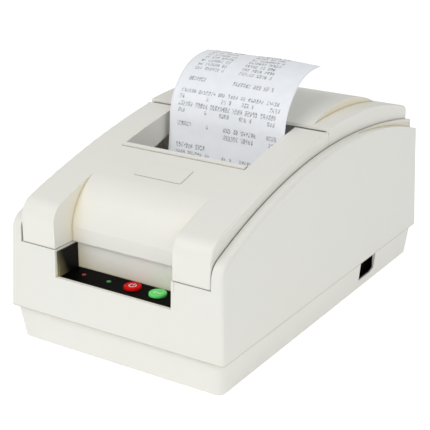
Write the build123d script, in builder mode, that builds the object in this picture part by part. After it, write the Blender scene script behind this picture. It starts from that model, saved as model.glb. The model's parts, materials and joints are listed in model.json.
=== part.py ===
"""Impact receipt printer: two-part case, two hinged covers, print mechanism and paper roll.

X runs to the printer's right, Y to its back, Z up. The origin is the middle of the footprint at
the level of the rubber feet. All sizes are millimetres.
"""

import os
from math import cos, pi, radians, sin, sqrt

from build123d import *

os.makedirs("parts", exist_ok=True)

# ---------------------------------------------------------------- driving dimensions
body_width = 160.0  # upper case at the parting line
body_depth = 272.0
parting_z = 23.7
base_z = 1.2  # underside of the lower case, above the feet
wall = 2.5
draft = 2.46  # degrees, upper case walls lean in
corner_radius = 3.0
soft_edge = 2.2  # rounding of the case's long outer edges
cover_edge = 1.2  # rounding of the covers' side edges
fine_edge = 0.8  # rounding of the short and inner edges
base_inset_top = 2.3  # lower case is narrower than the upper case
base_inset_bottom = 4.6
tongue_inset, tongue_thickness = 3.2, 1.5

# side view: each crown is the highest point (Y, Z) of an arc
cheek_crown, cheek_front_radius, cheek_rear_radius = (23.0, 116.45), 376.0, 500.0
cheek_front_corner = (0, -133.8, 82.3)
cheek_bend = 11.0
cover_crown, cover_radius = (89.7, 131.66), 669.2
cover_front_y, cover_bend = -133.4, 13.0
shoulder_crown, shoulder_radius = (37.7, 129.62), 283.1

bay_half = 70.1  # half width of the opening between the cheeks
cover_half = 69.5
skin = 2.2  # cover wall thickness
cover_front_z = 68.6
cover_gap = 0.3
seam_front_y = 7.0
seam_rear_y = 7.15
rail_inner = 43.5  # inner side of the two front rails of the cover
notch_half = 46.5
notch_front_y = -55.0
hump_half = 57.0
ridge_inner_x = 72.2  # the cheeks keep a narrow ridge inside this towards the back
step_start_y = 44.0

hinge_roll_radius = 3.4
front_hinge_y = seam_front_y - hinge_roll_radius
front_hinge_z = 122.7
rear_hinge_y = 130.2
rear_hinge_z = 100.2
rear_wall_z = 99.8
rear_wall_y = 126.0
knuckle_radius = 2.8
knuckle_gap = 0.35
hinge_pin_radius = 1.2
hinge_groups = (-45.0, 45.0)  # middle of each rear hinge
roll_slots = (-59.0, 59.0)  # side frame arms inside the front hinge roll

shelf_z = 49.3  # floor of the control pocket
pocket_half = 43.0
pocket_wall = 2.0
pocket_back_y = -113.5
sill_z = 50.5
button_radius = 5.6
button_y = -121.5
power_button_x = 6.0
feed_button_x = 24.6
led_y = -122.5
red_led_x = -30.5
green_led_x = -11.3
led_radius = 1.5
key_points = [(power_button_x, button_y), (feed_button_x, button_y)]
led_points = [(red_led_x, led_y), (green_led_x, led_y)]
control_board_z, control_board_thickness = 38.0, 1.6
control_board_top = control_board_z + control_board_thickness
control_post_points = [(-38, -123), (38, -123)]

tear_bar_y, tear_bar_z, tear_bar_depth, tear_bar_slope = -57.2, 115.5, 3.6, 12.0
badge_width, badge_depth, badge_thickness, badge_gap = 35.0, 15.0, 1.1, 0.1
badge_plane = Plane((0, -79.0, 110.6), x_dir=(1, 0, 0), z_dir=(0, -0.254, 0.967))

paper_width = 89.0
paper_centre_x = 1.3
paper_thickness = 0.3
print_y = -12.0  # plane of the paper in front of the platen
web_floor_z = 37.8
web_bend = 16.0
roll_y, roll_z = 75.0, 78.0
roll_radius = 40.0
core_radius = 6.5

frame_x = 58.0  # inner face of the mechanism's side frames
frame_thickness = 2.0
mech_floor_z = 34.0
mech_front_y, mech_rear_y = -84.0, 26.0
shaft_y, shaft_z, shaft_radius = -46.0, 66.0, 3.0
feed_y, feed_z, feed_radius = -5.7, 56.0, 6.0
pinch_y, pinch_radius = -17.3, 5.0
gear_module = 1.0
feed_gear_teeth, pinion_teeth = 36, 12
gear_width = 4.0
pinion_angle = 15.0
pulley_x, pulley_y, pulley_radius = 40.0, -60.0, 5.0
belt_z, belt_height, belt_thickness = 50.0, 4.0, 1.0
knob_x, knob_y = -34.0, -74.0
running = 0.06  # radial clearance of a running fit
snug = 0.02  # radial clearance of a fixed fit

rocker_y, rocker_z = 59.7, 15.3
rocker_pivot_x = 71.0
rocker_tilt = 8.0

case_screw_x, case_screw_y = 69.5, 118.0
mech_screw_points = [(-50, -76), (50, -76), (-50, 18), (50, 18)]
cradle_post_points = [(-56, 40), (56, 40), (-56, 105), (56, 105)]
board_z = 7.0
board_points = [(-40, 36), (38, 36), (-40, 112), (38, 112)]
foot_points = [(-60, -112), (60, -112), (-60, 112), (60, 112)]
connector_z = 8.65
# middle X, width, height and opening height of each connector
connectors = {
    "power_socket": (-34, 13, 11.0, 8.0),
    "drawer_jack": (-14, 13, 10.5, 6.8),
    "data_connector": (8, 19, 10.5, 6.0),
    "usb_connector": (32, 14, 11.5, 6.4),
}


def export(piece, label):
    """Name one finished piece and write it as its own STEP file."""
    piece.part.label = label
    export_step(piece.part, f"parts/{label}.step")


def height_on(crown, radius, y):
    """Height at y of the circle of this radius whose highest point is crown."""
    return crown[1] - radius + sqrt(radius**2 - (y - crown[0]) ** 2)


def crown_arc(start_y, end_y, crown, radius, drop=0.0):
    """Arc of that circle between two Y positions, lowered by drop."""
    stations = (start_y, (start_y + end_y) / 2, end_y)
    return ThreePointArc(*[(y, height_on(crown, radius, y) - drop) for y in stations])


def cheek_line(drop=0.0):
    """Top of the side cheeks from beyond the front wall to beyond the back, lowered by drop."""
    crown_arc(-140.0, cheek_crown[0], cheek_crown, cheek_front_radius, drop)
    crown_arc(cheek_crown[0], 140.0, cheek_crown, cheek_rear_radius, drop)


def cheek_height(y, drop=0.0):
    """Height of the cheeks at y, lowered by drop."""
    radius = cheek_front_radius if y < cheek_crown[0] else cheek_rear_radius
    return height_on(cheek_crown, radius, y) - drop


def cover_height(y):
    """Height of the front cover's top at y."""
    return height_on(cover_crown, cover_radius, y)


def nearest_edges(piece, *points):
    """For each point, the edge of a part in progress that passes nearest to it."""
    return [piece.edges().sort_by_distance(point)[0] for point in points]


def both_sides(x, y, z):
    """A point and its mirror image across the middle of the printer."""
    return (x, y, z), (-x, y, z)


# ---------------------------------------------------------------- lower case
floor_z = base_z + wall
with BuildPart() as lower_case:
    for inset, bottom, mode in ((0.0, base_z, Mode.ADD), (wall, floor_z, Mode.SUBTRACT)):
        with BuildSketch(Plane.XY.offset(bottom)):
            RectangleRounded(
                body_width - 2 * (base_inset_bottom + inset),
                body_depth - 2 * (base_inset_bottom + inset),
                corner_radius + 2 - inset,
            )
        with BuildSketch(Plane.XY.offset(parting_z - 0.1)):
            RectangleRounded(
                body_width - 2 * (base_inset_top + inset),
                body_depth - 2 * (base_inset_top + inset),
                corner_radius + 1 - inset / 2,
            )
        loft(mode=mode)
    fillet(nearest_edges(lower_case, (0, base_inset_bottom - body_depth / 2, base_z)), fine_edge)
    # tongue that locates the upper case
    with BuildSketch(Plane.XY.offset(parting_z - 4)):
        for inset, mode in ((tongue_inset, Mode.ADD), (tongue_inset + tongue_thickness, Mode.SUBTRACT)):
            RectangleRounded(body_width - 2 * inset, body_depth - 2 * inset, 2.5, mode=mode)
    extrude(amount=6)
    # pillars for the mechanism, the roll cradle and the board, and the case screw bosses
    for points, radius, top in (
        (mech_screw_points, 4.5, mech_floor_z),
        (cradle_post_points, 4.0, mech_floor_z),
        (board_points, 3.0, board_z),
    ):
        with BuildSketch(Plane.XY.offset(floor_z - 0.5)):
            with Locations(*points):
                Circle(radius)
        extrude(amount=top - floor_z + 0.5)
    with BuildSketch(Plane.XY.offset(floor_z - 0.5)):
        with GridLocations(2 * case_screw_x, 2 * case_screw_y, 2, 2):
            Circle(4.0)
    extrude(amount=parting_z - 0.1 - (floor_z - 0.5))
    # screw holes and their counterbores from below
    for radius, height in ((1.7, parting_z + 5), (3.5, 4.5)):
        with BuildSketch(Plane.XY):
            with GridLocations(2 * case_screw_x, 2 * case_screw_y, 2, 2):
                Circle(radius)
        extrude(amount=height, mode=Mode.SUBTRACT)
    with BuildSketch(Plane.XY.offset(mech_floor_z - 12)):
        with Locations(*mech_screw_points, *cradle_post_points):
            Circle(1.55)
    extrude(amount=20, mode=Mode.SUBTRACT)
    with BuildSketch(Plane.XY.offset(4.0)):
        with Locations(*board_points):
            Circle(1.3)
    extrude(amount=10, mode=Mode.SUBTRACT)
    # recesses for the feet
    with BuildSketch(Plane.XY):
        with Locations(*foot_points):
            Circle(7.1)
    extrude(amount=base_z + 1.0, mode=Mode.SUBTRACT)
    # window for the power switch, open to the parting line
    with BuildSketch(Plane.YZ.offset(66)):
        with BuildLine():
            Polyline(
                (rocker_y - 11.8, 7.9), (rocker_y + 6.3, 7.9), (rocker_y + 11.8, 9.6),
                (rocker_y + 11.8, 30), (rocker_y - 11.8, 30), close=True,
            )
        make_face()
    extrude(amount=14, mode=Mode.SUBTRACT)
    # connector openings in the back wall
    with BuildSketch(Plane.XZ.offset(-(body_depth / 2 - 12))):
        for x, connector_width, connector_height, _ in connectors.values():
            with Locations((x, connector_z + connector_height / 2)):
                Rectangle(connector_width + 1, connector_height + 0.8)
    extrude(amount=-14, mode=Mode.SUBTRACT)
export(lower_case, "lower_case")

# ---------------------------------------------------------------- upper case
with BuildPart() as case_cavity:
    with BuildSketch(Plane.XY.offset(parting_z - 1)):
        RectangleRounded(body_width - 2 * wall, body_depth - 2 * wall, 1.5)
    extrude(amount=100, taper=draft)
    with BuildSketch(Plane.YZ):
        with BuildLine():
            cheek_line(wall)
            Polyline((140, cheek_height(140, wall)), (140, 0), (-140, 0), (-140, cheek_height(-140, wall)))
        make_face()
    extrude(amount=body_width, both=True, mode=Mode.INTERSECT)
    fillet(nearest_edges(case_cavity, (0, -131.1, 80.9)), cheek_bend - wall)
    # inner walls of the cheeks stay solid
    for side in (-1, 1):
        with BuildSketch(Plane.YZ.offset(side * bay_half)):
            with BuildLine():
                cheek_line(wall)
                Polyline(
                    (140, cheek_height(140, wall)), (140, 88), (18, 101), (-74.5, 88), (-112, 72),
                    (-124, 66), (-140, 58), (-140, cheek_height(-140, wall)),
                )
            make_face()
        extrude(amount=side * 2.0, mode=Mode.SUBTRACT)

with BuildPart() as upper_case:
    with BuildSketch(Plane.XY.offset(parting_z)) as footprint:
        Rectangle(body_width, body_depth)
        fillet(footprint.vertices().group_by(Axis.Y)[-1], corner_radius)
    extrude(amount=100, taper=draft)
    with BuildSketch(Plane.YZ):
        with BuildLine():
            cheek_line()
            Polyline((140, cheek_height(140)), (140, 0), (-140, 0), (-140, cheek_height(-140)))
        make_face()
    extrude(amount=body_width, both=True, mode=Mode.INTERSECT)
    # bend from the front wall into the cheeks, then the rounding along their outer edges
    fillet(nearest_edges(upper_case, cheek_front_corner), cheek_bend)
    fillet(nearest_edges(upper_case, *both_sides(76.4, -54.0, cheek_height(-54.0))), soft_edge)
    add(case_cavity.part, mode=Mode.SUBTRACT)
    # opening between the cheeks, with a low back wall
    with BuildSketch(Plane.YZ):
        with BuildLine():
            ledge_z = cover_front_z - cover_gap
            Polyline(
                (-150, ledge_z), (rear_wall_y, ledge_z), (rear_wall_y, rear_wall_z),
                (150, rear_wall_z), (150, 140), (-150, 140), close=True,
            )
        make_face()
    extrude(amount=bay_half, both=True, mode=Mode.SUBTRACT)
    # outer half of each cheek falls away towards the back under a roof of its own, leaving a ridge
    for side in (-1, 1):
        with BuildSketch(Plane.YZ.offset(side * ridge_inner_x)):
            with BuildLine():
                slope = ThreePointArc((step_start_y, 115.7), (88.0, 109.8), (142.0, 95.0))
                Polyline(slope @ 1, (142, 130), (step_start_y, 130), slope @ 0)
            make_face()
        extrude(amount=side * 12, mode=Mode.SUBTRACT)
        with BuildSketch(Plane.YZ.offset(side * ridge_inner_x)):
            with BuildLine():
                slope = ThreePointArc((step_start_y, 115.7), (88.0, 109.8), (131.5, 98.4))
                Polyline(slope @ 1, (131.5, 95.5), (88.0, 107.0), (step_start_y, 113.2), slope @ 0)
            make_face()
        extrude(amount=side * 2.0)
    # walls round the control pocket
    with BuildSketch(Plane.XY.offset(shelf_z - 1.5)):
        with BuildLine():
            front_y = -body_depth / 2 + 1.6
            back_y = pocket_back_y + pocket_wall
            outer_x = pocket_half + pocket_wall
            Polyline(
                (-outer_x, front_y), (outer_x, front_y), (outer_x, back_y), (-outer_x, back_y), close=True
            )
        make_face()
    extrude(amount=ledge_z - shelf_z + 1.5)
    with BuildSketch(Plane.XY.offset(shelf_z)):
        with Locations((0, (pocket_back_y - 132.6) / 2)):
            Rectangle(2 * pocket_half, pocket_back_y + 132.6)
    extrude(amount=30, mode=Mode.SUBTRACT)
    with BuildSketch(Plane.XY.offset(sill_z)):
        with Locations((0, -132)):
            Rectangle(2 * pocket_half, 20)
    extrude(amount=30, mode=Mode.SUBTRACT)
    with BuildSketch(Plane.XY.offset(shelf_z - 3)):
        with Locations(*key_points):
            Circle(button_radius + 0.25)
        with Locations(*led_points):
            Circle(led_radius + 0.15)
    extrude(amount=8, mode=Mode.SUBTRACT)
    # posts that carry the control board
    with BuildSketch(Plane.XY.offset(control_board_top + 0.1)):
        with Locations(*control_post_points):
            Circle(2.6)
            Circle(1.1, mode=Mode.SUBTRACT)
    extrude(amount=shelf_z - 1.0 - control_board_top)
    # bosses for the case screws, tied to the side walls
    with BuildSketch(Plane.XY.offset(parting_z)):
        with GridLocations(2 * case_screw_x, 2 * case_screw_y, 2, 2):
            Circle(4.0)
    extrude(amount=30)
    with BuildSketch(Plane.XY.offset(parting_z + 2.8)):
        with GridLocations(2 * (case_screw_x + 4.2), 2 * case_screw_y, 2, 2):
            Rectangle(8.4, 2.0)
    extrude(amount=27.2)
    with BuildSketch(Plane.XY.offset(parting_z)):
        with GridLocations(2 * case_screw_x, 2 * case_screw_y, 2, 2):
            Circle(1.55)
    extrude(amount=26, mode=Mode.SUBTRACT)
    # knuckles of the rear hinge on top of the back wall, with room for those of the cover
    for x in hinge_groups:
        with BuildSketch(Plane.YZ.offset(x - 12.9)):
            with Locations((rear_hinge_y, rear_hinge_z)):
                Circle(knuckle_radius + knuckle_gap)
        extrude(amount=25.8, mode=Mode.SUBTRACT)
        with BuildSketch(Plane.YZ.offset(x - 4)):
            with Locations((rear_hinge_y, rear_hinge_z)):
                Circle(knuckle_radius)
            with Locations((rear_hinge_y + 1.4, rear_hinge_z - 2.6)):
                Rectangle(2.6, 5.2)
        extrude(amount=8)
        with BuildSketch(Plane.YZ.offset(x - 6)):
            with Locations((rear_hinge_y, rear_hinge_z)):
                Circle(hinge_pin_radius + snug)
        extrude(amount=12, mode=Mode.SUBTRACT)
export(upper_case, "upper_case")

# ---------------------------------------------------------------- front cover
skirt_foot = (cover_front_y, cover_front_z - 12)
# lower edge of the skirts, hidden behind the cheeks, from back to front
skirt_points = [
    (front_hinge_y, 112.0), (-20.0, 104.5), (-74.5, 94.0), (-112.0, 78.0), (-118.0, skirt_foot[1]),
]
nose_foot_z = cover_front_z - 14
nose_top_y = -92.6


def nose_line(back=0.0):
    """Front of the cover between the two rails, running smoothly into its top, set back by back."""
    foot = Line((-116.5 + back, nose_foot_z), (-116.3 + back, 78.0))
    brow = ThreePointArc(foot @ 1, (-113.4 + back, 87.3 - back / 2), (-108.0 + back, 95.9 - back / 2))
    TangentArc(brow @ 1, (nose_top_y + back, cover_height(nose_top_y) + 0.03 - back / 2), tangent=brow % 1)


with BuildPart() as cover_cavity:
    with BuildSketch(Plane.YZ):
        with BuildLine():
            top = crown_arc(cover_front_y + skin, front_hinge_y + 20, cover_crown, cover_radius, skin)
            Polyline(top @ 1, (front_hinge_y + 20, 40), (cover_front_y + skin, 40), top @ 0)
        make_face()
    extrude(amount=cover_half - skin, both=True)
    fillet(nearest_edges(cover_cavity, (0, cover_front_y + skin, 92.0)), cover_bend - skin)
    # the middle stays behind the nose and the notch keeps its side walls
    with BuildSketch(Plane.YZ):
        with BuildLine():
            nose_line(skin)
            Polyline(
                (nose_top_y + skin, cover_height(nose_top_y) + 0.03 - skin / 2), (nose_top_y + skin, 130),
                (-150, 130), (-150, nose_foot_z), (-116.5 + skin, nose_foot_z),
            )
        make_face()
    extrude(amount=rail_inner + skin, both=True, mode=Mode.SUBTRACT)
    for side in (-1, 1):
        with BuildSketch(Plane.YZ.offset(side * notch_half)):
            with BuildLine():
                Polyline(
                    (notch_front_y - 2, 130), (notch_front_y - 2, 103), (-20, 98.5), (1.5, 104),
                    (1.5, 130), close=True,
                )
            make_face()
        extrude(amount=side * 2.0, mode=Mode.SUBTRACT)

with BuildPart() as front_cover:
    with BuildSketch(Plane.YZ):
        with BuildLine():
            top = crown_arc(cover_front_y, front_hinge_y, cover_crown, cover_radius)
            Polyline(top @ 1, (front_hinge_y, front_hinge_z), *skirt_points, skirt_foot, top @ 0)
        make_face()
    extrude(amount=cover_half, both=True)
    # bend into the front, then the rounding along both upper side edges
    fillet(nearest_edges(front_cover, (0, cover_front_y, cover_height(cover_front_y))), cover_bend)
    fillet(nearest_edges(front_cover, *both_sides(cover_half, -60.0, cover_height(-60.0))), cover_edge)
    # end of the cover, round about the hinge axis at the top
    with BuildSketch(Plane.YZ):
        with Locations((front_hinge_y, front_hinge_z)):
            Circle(hinge_roll_radius)
        with Locations((front_hinge_y, (front_hinge_z + 112) / 2)):
            Rectangle(2 * hinge_roll_radius, front_hinge_z - 112)
    extrude(amount=cover_half, both=True)
    with BuildSketch(Plane.YZ):
        with Locations((-75, cover_front_z - 25)):
            Rectangle(150, 50)
    extrude(amount=cover_half + 1, both=True, mode=Mode.SUBTRACT)
    add(cover_cavity.part, mode=Mode.SUBTRACT)
    # recess in front of the nose
    with BuildSketch(Plane.YZ):
        with BuildLine():
            nose_line()
            Polyline(
                (nose_top_y, cover_height(nose_top_y) + 0.03), (nose_top_y, 130), (-150, 130),
                (-150, nose_foot_z), (-116.5, nose_foot_z),
            )
        make_face()
    extrude(amount=rail_inner, both=True, mode=Mode.SUBTRACT)
    # paper notch
    with BuildSketch(Plane.XY.offset(90)):
        with Locations((0, (notch_front_y + 20) / 2)):
            Rectangle(2 * notch_half, 20 - notch_front_y)
    extrude(amount=60, mode=Mode.SUBTRACT)
    # rebate for the tear bar along the front edge of the notch
    with BuildSketch(Plane.YZ):
        with Locations((tear_bar_y, tear_bar_z)):
            Rectangle(tear_bar_depth + 0.4, 2.2, rotation=tear_bar_slope)
    extrude(amount=notch_half, both=True, mode=Mode.SUBTRACT)
    # shallow recess for the blank badge
    with BuildSketch(badge_plane):
        RectangleRounded(badge_width + 2 * badge_gap, badge_depth + 2 * badge_gap, 1.3)
    extrude(amount=-badge_thickness, mode=Mode.SUBTRACT)
    # pin holes in the hinge roll, and slots for the arms of the side frames
    with BuildSketch(Plane.YZ.offset(-67)):
        with Locations((front_hinge_y, front_hinge_z)):
            Circle(hinge_pin_radius + running)
    extrude(amount=134, mode=Mode.SUBTRACT)
    for x in roll_slots:
        with BuildSketch(Plane.YZ.offset(x - 1.6)):
            with Locations((front_hinge_y, front_hinge_z)):
                Circle(2.6)
            with Locations((front_hinge_y, front_hinge_z - 6)):
                Rectangle(5.2, 12)
            with Locations((front_hinge_y + 3.2, front_hinge_z - 5)):
                Rectangle(6.4, 14)
        extrude(amount=3.2, mode=Mode.SUBTRACT)
export(front_cover, "front_cover")

with BuildPart() as badge_plate:
    with BuildSketch(badge_plane.offset(-badge_thickness)):
        RectangleRounded(badge_width, badge_depth, 1.2)
    extrude(amount=badge_thickness - 0.15)
export(badge_plate, "badge_plate")

with BuildPart() as tear_bar:
    with BuildSketch(Plane.YZ):
        with Locations((tear_bar_y, tear_bar_z)):
            Rectangle(tear_bar_depth, 1.8, rotation=tear_bar_slope)
    extrude(amount=notch_half - 0.3, both=True)
    # fine teeth along the edge that faces the paper
    tooth_plane = Plane(
        (0, tear_bar_y, tear_bar_z), x_dir=(1, 0, 0),
        z_dir=(0, -sin(radians(tear_bar_slope)), cos(radians(tear_bar_slope))),
    )
    with BuildSketch(tooth_plane.offset(-2)):
        with Locations((0, tear_bar_depth / 2)):
            with GridLocations(2.0, 1, 45, 1):
                Rectangle(0.9, 0.9, rotation=45)
    extrude(amount=4, mode=Mode.SUBTRACT)
export(tear_bar, "tear_bar")

# ---------------------------------------------------------------- rear cover
shoulder_end_y, tail_y, tail_z = 126.6, 129.6, 112.0


def hump_line(drop=0.0):
    """Top of the raised middle of the rear cover, lowered by drop."""
    rise = ThreePointArc((8.6, 127.8 - drop), (26.0, 132.9 - drop), (48.0, 134.9 - drop))
    ThreePointArc(rise @ 1, (74.2, 132.2 - drop), (104.0, 120.8 - drop))


with BuildPart() as rear_cavity:
    with BuildSketch(Plane.YZ):
        with BuildLine():
            shoulder = crown_arc(seam_rear_y, shoulder_end_y - skin, shoulder_crown, shoulder_radius, skin)
            Polyline(
                shoulder @ 1, (tail_y - skin, tail_z - skin), (tail_y - skin, 60), (0, 60),
                (0, 128.0 - skin), shoulder @ 0,
            )
        make_face()
    extrude(amount=cover_half - skin, both=True)
    with BuildSketch(Plane.YZ):
        with BuildLine():
            hump_line(skin)
            Polyline((104.0, 120.8 - skin), (104, 100), (8.6, 100), (8.6, 127.8 - skin))
        make_face()
    extrude(amount=hump_half - skin, both=True)

with BuildPart() as hump:
    with BuildSketch(Plane.YZ):
        with BuildLine():
            hump_line()
            Polyline((104.0, 120.8), (104, 112), (8.6, 112), (8.6, 127.8))
        make_face()
    extrude(amount=hump_half, both=True)
    fillet(nearest_edges(hump, *both_sides(hump_half, 48.0, 134.9)), fine_edge)

with BuildPart() as rear_cover:
    with BuildSketch(Plane.YZ):
        with BuildLine():
            shoulder = crown_arc(seam_rear_y, shoulder_end_y, shoulder_crown, shoulder_radius)
            Polyline(
                shoulder @ 1, (tail_y, tail_z), (tail_y, 101.5), (118.0, 99.0), (76.0, 107.0),
                (18.0, 111.0), (seam_rear_y, 111.0), shoulder @ 0,
            )
        make_face()
    extrude(amount=cover_half, both=True)
    fillet(nearest_edges(rear_cover, *both_sides(cover_half, 66.0, 128.2)), cover_edge)
    add(hump.part)
    add(rear_cavity.part, mode=Mode.SUBTRACT)
    # knuckles on the lower back edge, and room for the knuckles of the case
    for x in hinge_groups:
        with BuildSketch(Plane.YZ.offset(x - 12.5)):
            with Locations((rear_hinge_y, rear_hinge_z)):
                Circle(knuckle_radius)
            with Locations((128.5, 102.4)):
                Rectangle(2.2, 4.4)
        extrude(amount=25)
        with BuildSketch(Plane.YZ.offset(x - 4.3)):
            with Locations((rear_hinge_y, rear_hinge_z)):
                Circle(knuckle_radius + knuckle_gap)
        extrude(amount=8.6, mode=Mode.SUBTRACT)
        with BuildSketch(Plane.YZ.offset(x - 11)):
            with Locations((rear_hinge_y, rear_hinge_z)):
                Circle(hinge_pin_radius + running)
        extrude(amount=22, mode=Mode.SUBTRACT)
export(rear_cover, "rear_cover")

# ---------------------------------------------------------------- hinge pins
with BuildPart() as rear_hinge_pins:
    for x in hinge_groups:
        with BuildSketch(Plane.YZ.offset(x - 10.5)):
            with Locations((rear_hinge_y, rear_hinge_z)):
                Circle(hinge_pin_radius)
        extrude(amount=21)
export(rear_hinge_pins, "rear_hinge_pins")

with BuildPart() as front_hinge_pins:
    for x in roll_slots:
        with BuildSketch(Plane.YZ.offset(x - 5.5)):
            with Locations((front_hinge_y, front_hinge_z)):
                Circle(hinge_pin_radius)
        extrude(amount=11)
export(front_hinge_pins, "front_hinge_pins")

# ---------------------------------------------------------------- control pocket
panel_front_y, panel_back_y = -132.4, pocket_back_y - 0.2
panel_depth = panel_back_y - panel_front_y
panel_mid_y = (panel_back_y + panel_front_y) / 2
label_gap = 0.05  # the panel rests on the shelf with this clearance
key_skirt_z, key_height = 47.4, 4.9
key_collar, key_stem_z = 1.5, 43.3
led_base_z = control_board_top + 0.1

with BuildPart() as control_panel:
    with BuildSketch(Plane.XY.offset(shelf_z + label_gap)):
        with Locations((0, panel_mid_y)):
            Rectangle(2 * pocket_half - 0.4, panel_depth)
        with Locations(*key_points):
            Circle(button_radius + 0.25, mode=Mode.SUBTRACT)
        with Locations(*led_points):
            Circle(led_radius + 0.15, mode=Mode.SUBTRACT)
    extrude(amount=1.15)
    with BuildSketch(Plane.XY.offset(shelf_z + label_gap)):
        with Locations((-pocket_half + 0.8, panel_mid_y), (pocket_half - 0.8, panel_mid_y)):
            Rectangle(1.2, panel_depth)
    extrude(amount=17.5)
export(control_panel, "control_panel")

with BuildPart() as control_label:
    with BuildSketch(Plane.XY.offset(sill_z + 0.02)):
        with Locations((0, panel_mid_y)):
            RectangleRounded(2 * pocket_half - 3.6, panel_depth - 0.4, 0.8)
        with Locations(*key_points):
            Circle(button_radius + 0.3, mode=Mode.SUBTRACT)
        with Locations(*led_points):
            Circle(led_radius + 0.1, mode=Mode.SUBTRACT)
    extrude(amount=0.2)
export(control_label, "control_label")

for label, x in (("power_button", power_button_x), ("feed_button", feed_button_x)):
    with BuildPart() as button:
        with BuildSketch(Plane.XY.offset(key_skirt_z)):
            with Locations((x, button_y)):
                Circle(button_radius)
        extrude(amount=key_height)
        fillet(button.edges().group_by(Axis.Z)[-1], fine_edge)
        # collar that holds the key under the shelf, and the stem over its switch
        with BuildSketch(Plane.XY.offset(key_skirt_z - key_collar)):
            with Locations((x, button_y)):
                Circle(button_radius + 1.3)
        extrude(amount=key_collar)
        with BuildSketch(Plane.XY.offset(key_stem_z)):
            with Locations((x, button_y)):
                Circle(2.0)
        extrude(amount=key_skirt_z - key_collar - key_stem_z + 0.4)
    export(button, label)

for label, x in (("red_led", red_led_x), ("green_led", green_led_x)):
    with BuildPart() as led:
        with BuildSketch(Plane.XY.offset(led_base_z)):
            with Locations((x, led_y)):
                Circle(led_radius)
        extrude(amount=sill_z + 0.5 - led_base_z)
        fillet(led.edges().group_by(Axis.Z)[-1], 0.4)
        with BuildSketch(Plane.XY.offset(led_base_z)):
            with Locations((x, led_y)):
                Circle(2.0)
        extrude(amount=1.0)
    export(led, label)

with BuildPart() as control_board:
    with BuildSketch(Plane.XY.offset(control_board_z)):
        with Locations((0, -122.0)):
            Rectangle(84, 18)
        with Locations(*control_post_points):
            Circle(1.3, mode=Mode.SUBTRACT)
    extrude(amount=control_board_thickness)
    # key switches and the cable socket
    with BuildSketch(Plane.XY.offset(control_board_top)):
        with Locations(*key_points):
            Rectangle(6.2, 6.2)
    extrude(amount=2.2)
    with BuildSketch(Plane.XY.offset(control_board_top)):
        with Locations((-24, -118)):
            Rectangle(10, 4.5)
    extrude(amount=5)
export(control_board, "control_board")

# ---------------------------------------------------------------- power switch
rocker_pin_radius = 1.2
with BuildPart() as rocker_housing:
    with BuildSketch(Plane.YZ.offset(61.0)):
        with BuildLine():
            Polyline(
                (rocker_y - 11.5, 8.2), (rocker_y + 6.2, 8.2), (rocker_y + 11.5, 9.9),
                (rocker_y + 11.5, 21.6), (rocker_y - 11.5, 21.6), close=True,
            )
        make_face()
    extrude(amount=14.2)
    with BuildSketch(Plane.YZ.offset(64.0)):
        with Locations((rocker_y, rocker_z)):
            Rectangle(19.0, 10.0)
    extrude(amount=14, mode=Mode.SUBTRACT)
    with BuildSketch(Plane.XY.offset(9)):
        with Locations((rocker_pivot_x, rocker_y)):
            Circle(rocker_pin_radius + running)
    extrude(amount=12.2, mode=Mode.SUBTRACT)
export(rocker_housing, "rocker_housing")

rocker_plane = Plane((rocker_pivot_x, rocker_y, rocker_z - 4.6)).rotated((0, 0, rocker_tilt))
with BuildPart() as power_rocker:
    with BuildSketch(rocker_plane):
        with BuildLine():
            face = ThreePointArc((4.4, -8.2), (2.9, 0), (4.4, 8.2))
            Polyline(face @ 1, (-0.6, 8.2), (-3.2, 2.4), (-3.2, -2.4), (-0.6, -8.2), face @ 0)
        make_face()
    extrude(amount=9.2)
    with BuildSketch(Plane.XY.offset(9.1)):
        with Locations((rocker_pivot_x, rocker_y)):
            Circle(rocker_pin_radius)
    extrude(amount=12.0)
export(power_rocker, "power_rocker")

# ---------------------------------------------------------------- print mechanism
gear_distance = gear_module * (feed_gear_teeth + pinion_teeth) / 2
motor_y = feed_y + gear_distance * cos(radians(pinion_angle))
motor_z = feed_z + gear_distance * sin(radians(pinion_angle))
gear_left_x = -frame_x - frame_thickness - 4.8
pinch_shaft_radius, feed_shaft_radius, motor_shaft_radius = 1.5, 2.5, 1.5
arm_half = 1.9  # half width of the frame arms that carry the front hinge


def gear_outline(teeth, phase, thinning=1.0):
    """Straight-flanked teeth, thin enough for the pair to run free; phase is in degrees."""
    pitch = gear_module * teeth / 2
    root, tip = pitch - 1.1 * gear_module, pitch + 0.85 * gear_module
    flank = [(root, 0.33), (pitch, 0.225), (tip, 0.105)]  # radius and half width in tooth steps
    step = 2 * pi / teeth
    points = []
    for i in range(teeth):
        middle = radians(phase) + i * step
        outline = [(radius, -half) for radius, half in flank] + flank[::-1]
        for radius, offset in outline:
            angle = middle + offset * step * thinning
            points.append((radius * cos(angle), radius * sin(angle)))
    Polyline(*points, close=True)


with BuildPart() as mech_base:
    with BuildSketch(Plane.XY.offset(mech_floor_z)):
        with Locations((0, (mech_front_y + mech_rear_y) / 2)):
            Rectangle(2 * frame_x - 0.2, mech_rear_y - mech_front_y)
        with Locations(*mech_screw_points):
            Circle(1.8, mode=Mode.SUBTRACT)
    extrude(amount=2)
    # post of the idler pulley
    with BuildSketch(Plane.XY.offset(mech_floor_z)):
        with Locations((-pulley_x, pulley_y)):
            Circle(1.5)
    extrude(amount=belt_z + belt_height + 2.5 - mech_floor_z)
    with BuildSketch(Plane.XY.offset(mech_floor_z)):
        with Locations((-pulley_x, pulley_y)):
            Circle(4.0)
    extrude(amount=belt_z - 1.2 - mech_floor_z)
export(mech_base, "mech_base")

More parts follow.
